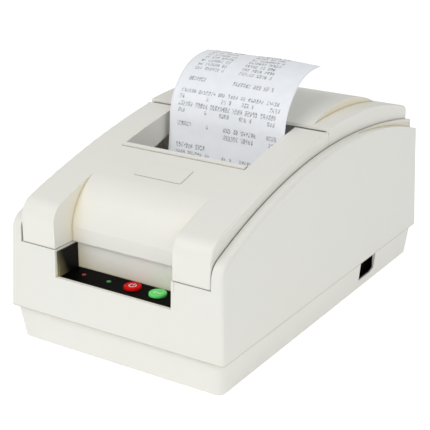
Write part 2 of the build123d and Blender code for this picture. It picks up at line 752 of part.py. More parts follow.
for label, side in (("left_frame", -1), ("right_frame", 1)):
    with BuildPart() as frame:
        with BuildSketch(Plane.YZ.offset(side * frame_x)):
            with BuildLine():
                Polyline(
                    (mech_front_y, mech_floor_z), (31, mech_floor_z), (31, 78), (12, 90),
                    (front_hinge_y + arm_half, 98), (front_hinge_y + arm_half, front_hinge_z),
                    (front_hinge_y - arm_half, front_hinge_z), (front_hinge_y - arm_half, 96),
                    (-22, 92), (-66, 92), (mech_front_y, 78), close=True,
                )
            make_face()
            with Locations((front_hinge_y, front_hinge_z)):
                Circle(arm_half + 0.2)
                Circle(hinge_pin_radius + snug, mode=Mode.SUBTRACT)
            with Locations((shaft_y, shaft_z)):
                Circle(shaft_radius + snug, mode=Mode.SUBTRACT)
            with Locations((feed_y, feed_z)):
                Circle(feed_shaft_radius + running, mode=Mode.SUBTRACT)
            with Locations((pinch_y, feed_z)):
                Circle(pinch_shaft_radius + running, mode=Mode.SUBTRACT)
            if side < 0:
                with Locations((motor_y, motor_z)):
                    Circle(3.0, mode=Mode.SUBTRACT)
            with Locations((-28, 76)):
                SlotOverall(26, 10, mode=Mode.SUBTRACT)
        extrude(amount=side * frame_thickness)
    export(frame, label)

with BuildPart() as carriage_shaft:
    with BuildSketch(Plane.YZ.offset(-61)):
        with Locations((shaft_y, shaft_z)):
            Circle(shaft_radius)
    extrude(amount=122)
export(carriage_shaft, "carriage_shaft")

with BuildPart() as guide_rail:
    with BuildSketch(Plane.YZ):
        with BuildLine():
            Polyline((-71, 60), (-69, 60), (-69, 70), (-75, 70), (-75, 68.4), (-71, 68.4), close=True)
        make_face()
    extrude(amount=frame_x - 0.1, both=True)
export(guide_rail, "guide_rail")

with BuildPart() as platen:
    with BuildSketch(Plane.YZ):
        with Locations((print_y + 2.6, 77)):
            RectangleRounded(4.0, 13, 0.8)
    extrude(amount=frame_x - 0.1, both=True)
export(platen, "platen")

with BuildPart() as carriage:
    with BuildSketch(Plane.YZ):
        with BuildLine():
            Polyline((-68.7, 61), (-36, 58), (-36, 71.5), (-68.7, 71.5), close=True)
        make_face()
        with Locations((shaft_y, shaft_z)):
            Circle(shaft_radius + running, mode=Mode.SUBTRACT)
    extrude(amount=17, both=True)
    # lug that grips the rear run of the belt
    belt_run_y = pulley_y + pulley_radius + 0.05 + belt_thickness / 2
    with BuildSketch(Plane.XY.offset(belt_z - 1.5)):
        with Locations((0, belt_run_y)):
            Rectangle(12, 5.5)
    extrude(amount=13)
    with BuildSketch(Plane.XY.offset(belt_z - 0.7)):
        with Locations((0, belt_run_y)):
            Rectangle(14, belt_thickness + 0.5)
    extrude(amount=belt_height + 1.2, mode=Mode.SUBTRACT)
export(carriage, "carriage")

with BuildPart() as print_head:
    with BuildSketch(Plane.XY.offset(71.6)):
        with Locations((0, -38)):
            RectangleRounded(22, 22, 2)
    extrude(amount=10.4)
    with BuildSketch(Plane.XZ.offset(27.5)):
        with Locations((0, 77)):
            Rectangle(14, 9)
    with BuildSketch(Plane.XZ.offset(-print_y + 1.7)):
        with Locations((0, 77)):
            Rectangle(4, 6)
    loft()
export(print_head, "print_head")

with BuildPart() as head_fins:
    with BuildSketch(Plane.XY.offset(82.1)):
        with Locations((0, -38)):
            Rectangle(22, 20)
    extrude(amount=1.2)
    with BuildSketch(Plane.XY.offset(82.1)):
        with Locations((0, -38)):
            with GridLocations(3.4, 1, 7, 1):
                Rectangle(1.2, 20)
    extrude(amount=6.5)
export(head_fins, "head_fins")

with BuildPart() as head_cable:
    with BuildSketch(Plane.YZ):
        with BuildLine():
            Polyline((-49.2, 79), (-53.0, 79), (-55.0, 77), (-55.0, 74), (-57, 72), (-66, 72))
        trace(line_width=0.5)
    extrude(amount=6, both=True)
export(head_cable, "head_cable")

with BuildPart() as carriage_belt:
    with BuildSketch(Plane.XY.offset(belt_z)):
        with Locations((0, pulley_y)):
            inner = pulley_radius + 0.05
            SlotOverall(2 * (pulley_x + inner + belt_thickness), 2 * (inner + belt_thickness))
            SlotOverall(2 * (pulley_x + inner), 2 * inner, mode=Mode.SUBTRACT)
    extrude(amount=belt_height)
export(carriage_belt, "carriage_belt")

for label, x in (("drive_pulley", pulley_x), ("idler_pulley", -pulley_x)):
    with BuildPart() as pulley:
        for z, height, radius in (
            (belt_z - 1.0, 0.9, pulley_radius + 2.0),
            (belt_z - 0.2, belt_height + 0.4, pulley_radius),
            (belt_z + belt_height + 0.1, 0.9, pulley_radius + 2.0),
        ):
            with BuildSketch(Plane.XY.offset(z)):
                with Locations((x, pulley_y)):
                    Circle(radius)
            extrude(amount=height)
        if x > 0:
            with BuildSketch(Plane.XY.offset(40)):
                with Locations((x, pulley_y)):
                    Circle(1.5)
            extrude(amount=12)
        else:
            with BuildSketch(Plane.XY.offset(belt_z - 2)):
                with Locations((x, pulley_y)):
                    Circle(1.5 + running)
            extrude(amount=8, mode=Mode.SUBTRACT)
    export(pulley, label)

with BuildPart() as carriage_motor:
    with BuildSketch(Plane.XY.offset(mech_floor_z + 2.05)):
        with Locations((pulley_x, pulley_y)):
            Circle(15)
    extrude(amount=11.5)
    with BuildSketch(Plane.XY.offset(39)):
        with Locations((pulley_x, pulley_y)):
            Circle(1.5 + running)
    extrude(amount=12, mode=Mode.SUBTRACT)
export(carriage_motor, "carriage_motor")

with BuildPart() as feed_motor:
    with BuildSketch(Plane.YZ.offset(-frame_x + 0.1)):
        with Locations((motor_y, motor_z)):
            Circle(13.5)
    extrude(amount=20)
    with BuildSketch(Plane.YZ.offset(-frame_x)):
        with Locations((motor_y, motor_z)):
            Circle(1.5 + running)
    extrude(amount=12, mode=Mode.SUBTRACT)
export(feed_motor, "feed_motor")

with BuildPart() as motor_pinion:
    with BuildSketch(Plane((gear_left_x, motor_y, motor_z), x_dir=(0, 1, 0), z_dir=(1, 0, 0))):
        with BuildLine():
            gear_outline(pinion_teeth, 180 + pinion_angle, thinning=0.9)
        make_face()
    extrude(amount=gear_width)
    with BuildSketch(Plane.YZ.offset(gear_left_x)):
        with Locations((motor_y, motor_z)):
            Circle(motor_shaft_radius)
    extrude(amount=14)
export(motor_pinion, "motor_pinion")

with BuildPart() as feed_gear:
    with BuildSketch(Plane((gear_left_x, feed_y, feed_z), x_dir=(0, 1, 0), z_dir=(1, 0, 0))):
        with BuildLine():
            gear_outline(feed_gear_teeth, pinion_angle + 180 / feed_gear_teeth)
        make_face()
        Circle(feed_shaft_radius + snug, mode=Mode.SUBTRACT)
        with PolarLocations(10.5, 6):
            Circle(3.2, mode=Mode.SUBTRACT)
    extrude(amount=gear_width)
export(feed_gear, "feed_gear")

with BuildPart() as feed_roller:
    with BuildSketch(Plane.YZ.offset(gear_left_x - 0.6)):
        with Locations((feed_y, feed_z)):
            Circle(feed_shaft_radius)
    extrude(amount=-gear_left_x + 0.6 + 61)
    for x in (-22, 22):
        with BuildSketch(Plane.YZ.offset(x - 20)):
            with Locations((feed_y, feed_z)):
                Circle(feed_radius)
        extrude(amount=40)
export(feed_roller, "feed_roller")

with BuildPart() as pinch_rollers:
    # the left end stays clear of the feed gear
    with BuildSketch(Plane.YZ.offset(gear_left_x + gear_width + 0.4)):
        with Locations((pinch_y, feed_z)):
            Circle(pinch_shaft_radius)
    extrude(amount=61 - (gear_left_x + gear_width + 0.4))
    for x in (-22, 22):
        with BuildSketch(Plane.YZ.offset(x - 8)):
            with Locations((pinch_y, feed_z)):
                Circle(pinch_radius)
        extrude(amount=16)
export(pinch_rollers, "pinch_rollers")

knob_post_radius = 2.0
with BuildPart() as ribbon_cassette:
    with BuildSketch(Plane.XY.offset(84.2)):
        with BuildLine():
            Polyline(
                (-56, -92), (56, -92), (56, -16), (49.5, -16), (46.5, -53), (-46.5, -53),
                (-49.5, -16), (-56, -16), close=True,
            )
        make_face()
    extrude(amount=9.3)
    for side in (-1, 1):
        with BuildSketch(Plane.XY.offset(71.0)):
            with Locations((side * 52.75, print_y - 5.5)):
                Rectangle(6, 8)
        extrude(amount=14)
    with BuildSketch(Plane.XY.offset(92)):
        with Locations((knob_x, knob_y)):
            Circle(knob_post_radius)
    extrude(amount=6.2)
export(ribbon_cassette, "ribbon_cassette")

with BuildPart() as ribbon:
    with BuildSketch(Plane.XY.offset(72.0)):
        with Locations((0, print_y - 1.1)):
            Rectangle(105, 0.3)
    extrude(amount=11)
export(ribbon, "ribbon")

with BuildPart() as ribbon_knob:
    with BuildSketch(Plane.XY.offset(93.7)):
        with Locations((knob_x, knob_y)):
            Circle(7.0)
            with PolarLocations(7.2, 14):
                Circle(0.9, mode=Mode.SUBTRACT)
    extrude(amount=4.3)
    with BuildSketch(Plane.XY.offset(93)):
        with Locations((knob_x, knob_y)):
            Circle(knob_post_radius + running)
    extrude(amount=6, mode=Mode.SUBTRACT)
export(ribbon_knob, "ribbon_knob")

# ---------------------------------------------------------------- paper
half_paper = paper_width / 2
half_sheet = paper_thickness / 2
bend_y, bend_z = print_y + web_bend, web_floor_z + web_bend
web_end_y, web_top_z = roll_y - 2, 96.0

with BuildPart() as paper_web:
    with BuildSketch(Plane.YZ.offset(paper_centre_x - half_paper)):
        with BuildLine():
            under = CenterArc((bend_y, bend_z), web_bend + half_sheet, 180, 90)
            Line(under @ 1, (web_end_y, web_floor_z - half_sheet))
            Line((web_end_y, web_floor_z - half_sheet), (web_end_y, web_floor_z + half_sheet))
            above = CenterArc((bend_y, bend_z), web_bend - half_sheet, 270, -90)
            Line((web_end_y, web_floor_z + half_sheet), above @ 0)
            Polyline(
                above @ 1, (print_y + half_sheet, web_top_z), (print_y - half_sheet, web_top_z), under @ 0
            )
        make_face()
    extrude(amount=paper_width)
export(paper_web, "paper_web")

receipt_points = [
    (-11.6, 97.0), (-9.6, 112.0), (-8.8, 125.0), (-6.0, 136.0), (0.2, 145.2),
    (8.0, 152.3), (16.5, 157.0), (27.0, 159.6), (39.0, 160.3),
]
with BuildPart() as receipt:
    with BuildSketch(Plane.YZ.offset(paper_centre_x - half_paper)):
        with BuildLine():
            Spline(*receipt_points)
        trace(line_width=paper_thickness)
    extrude(amount=paper_width)
export(receipt, "receipt")

with BuildPart() as paper_roll:
    with BuildSketch(Plane.YZ.offset(paper_centre_x - half_paper)):
        with Locations((roll_y, roll_z)):
            Circle(roll_radius)
            Circle(core_radius + snug, mode=Mode.SUBTRACT)
    extrude(amount=paper_width)
export(paper_roll, "paper_roll")

with BuildPart() as roll_core:
    with BuildSketch(Plane.YZ.offset(paper_centre_x - half_paper)):
        with Locations((roll_y, roll_z)):
            Circle(core_radius)
            Circle(core_radius - 1.5, mode=Mode.SUBTRACT)
    extrude(amount=paper_width)
export(roll_core, "roll_core")

cradle_inner = roll_radius + 2.0
cradle_outer = cradle_inner + 2.0
cradle_half = half_paper + 2.5
cradle_front_y, cradle_rear_y = 28.0, 110.0
with BuildPart() as roll_cradle:
    with BuildSketch(Plane.YZ):
        # trough under and behind the roll
        with BuildLine():
            outer = CenterArc((roll_y, roll_z), cradle_outer, -90, 90)
            inner = CenterArc((roll_y, roll_z), cradle_inner, 0, -90)
            Line(outer @ 1, inner @ 0)
            Polyline(
                inner @ 1, (cradle_front_y, roll_z - cradle_inner), (cradle_front_y, roll_z - cradle_outer),
                outer @ 0,
            )
        make_face()
        # low wall in front of the roll
        with BuildLine():
            Polyline((33.0, 62), (35.5, 52), (38.5, 46), (41, 47), (37.8, 53), (35.2, 62), close=True)
        make_face()
    extrude(amount=cradle_half + 1, both=True)
    for side in (-1, 1):
        with BuildSketch(Plane.YZ.offset(side * cradle_half)):
            with BuildLine():
                Polyline(
                    (cradle_front_y, roll_z - cradle_outer), (cradle_rear_y, roll_z - cradle_outer),
                    (roll_y + cradle_outer, roll_z),
                    (roll_y + 20, roll_z + 10), (roll_y - 20, roll_z + 10), (33, 62),
                    (cradle_front_y, 44), close=True,
                )
            make_face()
        extrude(amount=side * 1.8)
        for y in (40, 105):
            with BuildSketch(Plane.XY.offset(mech_floor_z)):
                with Locations((side * 53.5, y)):
                    Rectangle(13, 10)
                with Locations((side * 56, y)):
                    Circle(1.8, mode=Mode.SUBTRACT)
            extrude(amount=2)
export(roll_cradle, "roll_cradle")

# ---------------------------------------------------------------- electronics
board_thickness = 1.6
with BuildPart() as main_board:
    with BuildSketch(Plane.XY.offset(board_z)):
        with Locations((-1, 79)):
            Rectangle(90, 98)
        with Locations(*board_points):
            Circle(1.6, mode=Mode.SUBTRACT)
    extrude(amount=board_thickness)
    # chips and capacitors
    with BuildSketch(Plane.XY.offset(board_z + board_thickness)):
        with Locations((0, 60), (24, 84)):
            Rectangle(14, 14)
        with Locations((-24, 84)):
            Rectangle(10, 18)
    extrude(amount=2.2)
    with BuildSketch(Plane.XY.offset(board_z + board_thickness)):
        with Locations((-28, 60), (-18, 60), (26, 58)):
            Circle(4)
    extrude(amount=9)
export(main_board, "main_board")

for label, (x, connector_width, connector_height, opening_height) in connectors.items():
    round_opening = label == "power_socket"
    middle_z = connector_z + connector_height / 2
    with BuildPart() as connector:
        with BuildSketch(Plane.XY.offset(connector_z)):
            with Locations((x, 124)):
                Rectangle(connector_width, 14)
        extrude(amount=connector_height)
        with BuildSketch(Plane.XZ.offset(-131)):
            with Locations((x, middle_z)):
                if round_opening:
                    Circle(opening_height / 2)
                    Circle(1.0, mode=Mode.SUBTRACT)
                else:
                    Rectangle(connector_width - 4, opening_height)
        extrude(amount=8, mode=Mode.SUBTRACT)
    export(connector, label)

# ---------------------------------------------------------------- fasteners and feet
with BuildPart() as case_screws:
    with BuildSketch(Plane.XY.offset(2.4)):
        with GridLocations(2 * case_screw_x, 2 * case_screw_y, 2, 2):
            Circle(3.0)
            RegularPolygon(1.2, 6, mode=Mode.SUBTRACT)
    extrude(amount=2.0)
    with BuildSketch(Plane.XY.offset(4.0)):
        with GridLocations(2 * case_screw_x, 2 * case_screw_y, 2, 2):
            Circle(1.5)
    extrude(amount=38)
export(case_screws, "case_screws")

for label, points, under_head, shaft, head, length in (
    ("mech_screws", mech_screw_points + cradle_post_points, mech_floor_z + 2.05, 1.5, 3.0, 10.0),
    ("board_screws", board_points, board_z + board_thickness + 0.05, 1.2, 2.4, 4.2),
):
    with BuildPart() as screws:
        with BuildSketch(Plane.XY.offset(under_head)):
            with Locations(*points):
                Circle(head)
                RegularPolygon(head * 0.4, 6, mode=Mode.SUBTRACT)
        extrude(amount=1.8)
        with BuildSketch(Plane.XY.offset(under_head - length)):
            with Locations(*points):
                Circle(shaft)
        extrude(amount=length + 0.6)
    export(screws, label)

with BuildPart() as rubber_feet:
    with BuildSketch(Plane.XY):
        with Locations(*foot_points):
            Circle(6.9)
    extrude(amount=base_z + 0.9)
    fillet(rubber_feet.edges().group_by(Axis.Z)[0], 0.5)
export(rubber_feet, "rubber_feet")
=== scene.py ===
"""Looks of the impact receipt printer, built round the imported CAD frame. Everything is in metres."""

import json
import math
import random

import bmesh
import bpy
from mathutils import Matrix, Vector


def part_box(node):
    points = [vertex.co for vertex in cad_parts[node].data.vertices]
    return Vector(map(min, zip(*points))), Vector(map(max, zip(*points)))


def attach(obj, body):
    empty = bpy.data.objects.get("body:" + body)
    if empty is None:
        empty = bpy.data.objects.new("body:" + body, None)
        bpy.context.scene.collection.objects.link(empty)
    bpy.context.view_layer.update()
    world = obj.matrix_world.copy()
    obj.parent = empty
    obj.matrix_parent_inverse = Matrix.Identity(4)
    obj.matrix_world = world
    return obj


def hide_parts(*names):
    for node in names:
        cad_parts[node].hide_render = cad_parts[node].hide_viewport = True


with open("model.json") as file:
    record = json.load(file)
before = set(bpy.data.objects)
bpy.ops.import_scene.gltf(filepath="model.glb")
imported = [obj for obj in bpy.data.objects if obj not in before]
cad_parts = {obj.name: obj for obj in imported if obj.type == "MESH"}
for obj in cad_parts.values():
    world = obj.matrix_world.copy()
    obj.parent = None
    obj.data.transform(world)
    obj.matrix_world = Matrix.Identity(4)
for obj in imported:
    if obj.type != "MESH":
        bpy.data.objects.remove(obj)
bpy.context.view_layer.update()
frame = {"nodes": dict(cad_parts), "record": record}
nodes = frame["nodes"]
MM = 0.001
SPARK_GRAIN = 0.35 * MM  # texture of the moulds
WOUND_STEP = 0.35 * MM  # visible rings on the ends of the paper roll


# ------------------------------------------------------------------ material building
class Maker:
    """A node material under construction, in the object's own coordinates."""

    def __init__(self, name):
        self.material = bpy.data.materials.new(name)
        self.material.use_nodes = True
        self.tree = self.material.node_tree
        self.bsdf = self.tree.nodes["Principled BSDF"]
        self.place = self.add("ShaderNodeTexCoord").outputs["Object"]

    def add(self, kind, **settings):
        """A new node with these settings; inputs are filled with put()."""
        node = self.tree.nodes.new(kind)
        for key, value in settings.items():
            setattr(node, key, value)
        return node

    def put(self, socket, value):
        """Link value into socket when it is an output, or set it as the socket's own value."""
        if isinstance(value, bpy.types.NodeSocket):
            self.tree.links.new(value, socket)
        elif isinstance(value, (tuple, list)) and len(value) == 3 and socket.type == "RGBA":
            socket.default_value = (*value, 1.0)
        else:
            socket.default_value = value

    def surface(self, **inputs):
        """Set inputs of the principled shader by name, with _ for spaces."""
        for key, value in inputs.items():
            self.put(self.bsdf.inputs[key.replace("_", " ").title().replace("Ior", "IOR")], value)

    def calc(self, operation, a, b=0.0):
        """One arithmetic step on one or two values."""
        node = self.add("ShaderNodeMath", operation=operation)
        self.put(node.inputs[0], a)
        self.put(node.inputs[1], b)
        return node.outputs[0]

    def spread(self, value, low, high, start=0.0, end=1.0):
        """Value taken from low..high to start..end, clamped."""
        node = self.add("ShaderNodeMapRange")
        for socket, x in zip(node.inputs, (value, low, high, start, end)):
            self.put(socket, x)
        return node.outputs[0]

    def axes(self):
        """The object's coordinates as three separate values."""
        split = self.add("ShaderNodeSeparateXYZ")
        self.put(split.inputs[0], self.place)
        return split.outputs

    def stretched(self, scale):
        """The object's coordinates times a scale on each axis."""
        node = self.add("ShaderNodeMapping")
        self.put(node.inputs["Vector"], self.place)
        self.put(node.inputs["Scale"], scale)
        return node.outputs[0]

    def noise(self, size, detail=2.0, roughness=0.5, stretch=None):
        """Soft noise whose features are about size metres across."""
        node = self.add("ShaderNodeTexNoise")
        self.put(node.inputs["Vector"], self.stretched(stretch) if stretch else self.place)
        for key, value in (("Scale", 1.0 / size), ("Detail", detail), ("Roughness", roughness)):
            self.put(node.inputs[key], value)
        return node.outputs[0]

    def mix(self, share, first, second):
        """Colour that goes from first to second as share goes from 0 to 1."""
        node = self.add("ShaderNodeMix", data_type="RGBA")
        self.put(node.inputs[0], share)
        self.put(node.inputs[6], first)
        self.put(node.inputs[7], second)
        return node.outputs[2]

    def edges(self, radius):
        """(rounded normal, 0..1 mask that is high along edges) for a bevel of this radius."""
        bevel = self.add("ShaderNodeBevel", samples=4)
        self.put(bevel.inputs["Radius"], radius)
        dot = self.add("ShaderNodeVectorMath", operation="DOT_PRODUCT")
        self.put(dot.inputs[0], bevel.outputs[0])
        self.put(dot.inputs[1], self.add("ShaderNodeNewGeometry").outputs["Normal"])
        return bevel.outputs[0], self.spread(dot.outputs["Value"], 0.99, 0.75)

    def hidden(self, reach, alone=False):
        """0..1 mask that is high where surfaces, or only the object's own, stand within reach."""
        shade = self.add("ShaderNodeAmbientOcclusion", samples=4, only_local=alone)
        self.put(shade.inputs["Distance"], reach)
        return self.spread(shade.outputs["AO"], 0.85, 0.3)

    def relief(self, height, depth, normal=None):
        """Bump of this depth in metres for a 0..1 height."""
        node = self.add("ShaderNodeBump")
        self.put(node.inputs["Height"], height)
        self.put(node.inputs["Distance"], depth)
        if normal is not None:
            self.put(node.inputs["Normal"], normal)
        return node.outputs[0]


def moulded_plastic(name, colour, aged, roughness=0.42, depth=0.02 * MM, worn=None, ior=1.5, shade_tints=None,
                    line_z=None):
    """Injection moulded plastic: fine spark grain, faint ageing in broad patches, edges polished by use.

    The shade tints are painted shade in three colours: a warm tint on sheltered faces standing in for
    bounced light, the brown of shade in inner corners and the dark of shade in narrow gaps. Sheltered faces
    also glow faintly in the warm tint as painted bounced light, and a thin painted shadow line runs along
    the bottom edge at line_z.
    """
    m = Maker(name)
    normal, rim = m.edges(0.3 * MM)
    broad = m.spread(m.noise(60 * MM, 3.0), 0.35, 0.7)
    fine = m.noise(SPARK_GRAIN, 3.0, 0.6)
    rubbed = m.calc("MULTIPLY", rim, m.spread(m.noise(4 * MM, 4.0), 0.4, 0.65))
    base = m.mix(m.calc("MULTIPLY", broad, 0.6), colour, aged)
    base = m.mix(m.calc("MULTIPLY", m.spread(fine, 0.3, 0.7), 0.05), base, tuple(c * 0.8 for c in colour))
    base = m.mix(m.calc("MULTIPLY", rubbed, 0.5), base, worn or tuple(min(1.0, c * 1.06) for c in colour))
    # painted shade: a warm tint on sheltered faces, brown in inner corners and dark in narrow gaps
    if shade_tints:
        patchy = m.spread(m.noise(3 * MM, 3.0), 0.2, 0.6, 0.7, 1.0)
        sheltered = m.calc("MULTIPLY", m.hidden(16 * MM, alone=True), patchy)
        base = m.mix(sheltered, base, shade_tints[0])
        corner = m.calc("POWER", m.hidden(5 * MM, alone=True), 2.0)
        base = m.mix(m.calc("MULTIPLY", corner, 0.6), base, shade_tints[1])
        base = m.mix(m.calc("MULTIPLY", m.hidden(1.1 * MM), 0.7), base, shade_tints[2])
        # painted bounced light: sheltered faces glow faintly in the warm tint
        glow = m.calc("MULTIPLY", m.hidden(35 * MM, alone=True), 0.2)
        m.surface(emission_color=shade_tints[0], emission_strength=glow)
    # painted shadow line along the bottom edge, just above line_z
    if line_z is not None:
        dust_and_shade = m.spread(m.axes()[2], line_z + 0.5 * MM, line_z + 0.8 * MM, 0.45, 0.0)
        base = m.mix(dust_and_shade, base, shade_tints[1])
    gloss = m.calc("ADD", roughness - 0.06, m.calc("MULTIPLY", m.noise(9 * MM, 4.0), 0.12))
    gloss = m.calc("SUBTRACT", gloss, m.calc("MULTIPLY", rubbed, 0.08))
    m.surface(base_color=base, roughness=gloss, ior=ior, normal=m.relief(fine, depth, normal))
    return m.material


def pocket_painted_shade(name, front_y, floor_z, fade):
    """Walls of the control pocket in painted shade: black towards the back and top, easing to tan plastic at
    the lower front corner.
    """
    m = Maker(name)
    x, y, z = m.axes()
    # painted shade: darker further back into the pocket and higher up its walls
    rise = m.calc("MULTIPLY", m.calc("SUBTRACT", z, floor_z), 0.45)
    uneven = m.calc("MULTIPLY", m.noise(4 * MM, 3.0), 2.5 * MM)
    depth = m.calc("ADD", m.calc("ADD", y, rise), uneven)
    paint = m.spread(depth, front_y, front_y + fade)
    base = m.mix(m.calc("POWER", paint, 0.6), (0.40, 0.34, 0.19), (0.003, 0.003, 0.003))
    fine = m.noise(SPARK_GRAIN, 3.0, 0.6)
    m.surface(base_color=base, roughness=0.5, ior=1.25, normal=m.relief(fine, 0.01 * MM))
    return m.material


def sheet_metal(name, colour, roughness=0.35, stretch=(1, 1, 1), brushing=0.15 * MM):
    """Rolled or machined metal: brushed along its long direction, cloudy plating, bright edges."""
    m = Maker(name)
    normal, rim = m.edges(0.15 * MM)
    lines = m.noise(brushing, 2.0, 0.6, stretch)
    cloud = m.noise(7 * MM, 4.0, 0.6)
    base = m.mix(m.spread(cloud, 0.35, 0.7), colour, tuple(c * 0.78 for c in colour))
    base = m.mix(m.calc("MULTIPLY", rim, 0.5), base, tuple(min(1.0, c * 1.2) for c in colour))
    gloss = m.calc("ADD", roughness - 0.08, m.calc("MULTIPLY", lines, 0.2))
    m.surface(base_color=base, metallic=1.0, roughness=gloss, normal=m.relief(lines, 0.01 * MM, normal))
    return m.material


def rubber(name, colour, roughness=0.75):
    """Ground or moulded rubber with a bloom of dust."""
    m = Maker(name)
    normal, rim = m.edges(0.3 * MM)
    dust_and_shade = (0.3, 0.29, 0.27)
    fine = m.noise(0.25 * MM, 4.0, 0.7)
    dust = m.calc("MULTIPLY", m.spread(m.noise(5 * MM, 5.0), 0.5, 0.8), 0.25)
    base = m.mix(dust, colour, dust_and_shade)
    base = m.mix(m.calc("MULTIPLY", rim, 0.15), base, dust_and_shade)
    m.surface(base_color=base, roughness=m.calc("ADD", roughness, m.calc("MULTIPLY", fine, 0.15)),
              normal=m.relief(fine, 0.03 * MM, normal))
    return m.material


def lens(name, colour, lit):
    """Tinted clear lens with a faint glow from the chip behind it."""
    m = Maker(name)
    fine = m.noise(0.6 * MM, 2.0)
    m.surface(base_color=m.mix(m.spread(fine, 0.3, 0.7), colour, tuple(c * 0.7 for c in colour)),
              roughness=m.calc("ADD", 0.08, m.calc("MULTIPLY", fine, 0.1)), transmission_weight=0.35,
              ior=1.49, emission_color=lit, emission_strength=0.35)
    return m.material


def circuit_board(name):
    """Green solder mask over tracks, with tinned pads."""
    m = Maker(name)
    cells = m.add("ShaderNodeTexBrick", offset=0.37, squash=0.6, squash_frequency=3)
    m.put(cells.inputs["Vector"], m.place)
    for key, value in (("Scale", 170.0), ("Mortar Size", 0.05), ("Brick Width", 0.9), ("Row Height", 0.22)):
        m.put(cells.inputs[key], value)
    tracks = cells.outputs["Fac"]
    pads = m.add("ShaderNodeTexVoronoi", feature="F1")
    m.put(pads.inputs["Vector"], m.place)
    m.put(pads.inputs["Scale"], 260.0)
    pad = m.spread(pads.outputs["Distance"], 0.2, 0.16)
    base = m.mix(tracks, (0.012, 0.11, 0.045), (0.02, 0.2, 0.08))
    base = m.mix(m.calc("MULTIPLY", pad, 0.8), base, (0.6, 0.58, 0.52))
    m.surface(base_color=base, roughness=m.spread(m.noise(3 * MM), 0.3, 0.7, 0.25, 0.4),
              metallic=m.calc("MULTIPLY", pad, 0.7), normal=m.relief(tracks, 0.03 * MM))
    return m.material


def paper_stock(name, tint):
    """Uncoated paper with fibres and faint mottling, as the maker and the base colour to print on."""
    m = Maker(name)
    fibres = m.noise(0.25 * MM, 4.0, 0.7, (1.0, 0.35, 1.0))
    mottle = m.noise(6 * MM, 3.0)
    base = m.mix(m.spread(mottle, 0.3, 0.7), tint, tuple(c * 0.96 for c in tint))
    base = m.mix(m.calc("MULTIPLY", m.spread(fibres, 0.5, 0.8), 0.25), base, tuple(c * 0.86 for c in tint))
    m.surface(base_color=base, roughness=0.85, normal=m.relief(fibres, 0.012 * MM))
    return m, base


def plain_paper(name, tint):
    """Blank paper."""
    return paper_stock(name, tint)[0].material


def wound_paper(name, tint, axis):
    """Ends of a paper roll: the wound layers show as fine rings about the roll's axis."""
    m, base = paper_stock(name, tint)
    x, y, z = m.axes()
    along, up = m.calc("SUBTRACT", y, axis.y), m.calc("SUBTRACT", z, axis.z)
    reach = m.calc("SQRT", m.calc("ADD", m.calc("POWER", along, 2.0), m.calc("POWER", up, 2.0)))
    rings = m.calc("SINE", m.calc("MULTIPLY", reach, 2 * math.pi / WOUND_STEP))
    uneven = m.add("ShaderNodeTexNoise", noise_dimensions="1D")
    m.put(uneven.inputs["W"], m.calc("MULTIPLY", reach, 1.0 / (1.2 * MM)))
    m.put(uneven.inputs["Scale"], 1.0)
    layered = m.calc("ADD", m.calc("MULTIPLY", rings, 0.25), uneven.outputs[0])
    m.surface(base_color=m.mix(m.spread(layered, 0.2, 0.9, 0.0, 0.5), base, tuple(c * 0.7 for c in tint)),
              normal=m.relief(layered, 0.05 * MM))
    return m.material


def inked_ribbon(name):
    """Woven nylon ribbon soaked with ink."""
    m = Maker(name)
    weave = m.add("ShaderNodeTexWave", wave_type="BANDS", bands_direction="DIAGONAL")
    m.put(weave.inputs["Vector"], m.place)
    m.put(weave.inputs["Scale"], 900.0)
    m.put(weave.inputs["Distortion"], 1.5)
    stain = m.spread(m.noise(3 * MM, 3.0), 0.3, 0.7)
    m.surface(base_color=m.mix(stain, (0.012, 0.01, 0.022), (0.035, 0.03, 0.055)), roughness=0.6,
              sheen_weight=0.3, normal=m.relief(weave.outputs["Fac"], 0.03 * MM))
    return m.material


def flat_cable(name):
    """Ribbed flat cable: pale film over ten conductors."""
    m = Maker(name)
    conductor_pitch = 1.2 * MM
    ribs = m.calc("SINE", m.calc("MULTIPLY", m.axes()[0], 2 * math.pi / conductor_pitch))
    base = m.mix(m.spread(ribs, -0.2, 0.7), (0.62, 0.63, 0.66), (0.42, 0.42, 0.45))
    m.surface(base_color=base, roughness=m.spread(m.noise(2 * MM), 0.3, 0.7, 0.3, 0.5),
              normal=m.relief(ribs, 0.12 * MM))
    return m.material


def wound_card(name):
    """Spiral wound card tube."""
    m = Maker(name)
    wave = m.add("ShaderNodeTexWave", wave_type="BANDS", bands_direction="X")
    m.put(wave.inputs["Vector"], m.place)
    m.put(wave.inputs["Scale"], 18.0)
    fibres = m.noise(0.4 * MM, 5.0, 0.7)
    base = m.mix(m.spread(fibres, 0.3, 0.7), (0.36, 0.26, 0.17), (0.46, 0.35, 0.24))
    m.surface(base_color=m.mix(m.calc("MULTIPLY", wave.outputs["Fac"], 0.2), base, (0.25, 0.18, 0.12)),
              roughness=0.9, normal=m.relief(fibres, 0.03 * MM))
    return m.material


def light_painted(name, colour):
    """Pad-printed mark: flat ink with slight pinholes."""
    m = Maker(name)
    holes = m.spread(m.noise(0.3 * MM, 3.0), 0.35, 0.6)
    m.surface(base_color=m.mix(holes, tuple(c * 0.85 for c in colour), colour), roughness=0.5,
              normal=m.relief(holes, 0.01 * MM))
    return m.material


IVORY = (0.80, 0.80, 0.755)
IVORY_AGED = (0.80, 0.79, 0.725)
COVER = (0.82, 0.815, 0.765)
COVER_AGED = (0.82, 0.80, 0.725)
# painted shade colours: warm tint of sheltered faces, brown of inner corners, dark of narrow gaps
PAINTED_SHADE_TINTS = ((0.76, 0.68, 0.47), (0.46, 0.38, 0.23), (0.16, 0.125, 0.07))
PAPER = (0.765, 0.785, 0.815)
BLACK = (0.0005, 0.0005, 0.0005)
WORN_BLACK = (0.001, 0.001, 0.001)

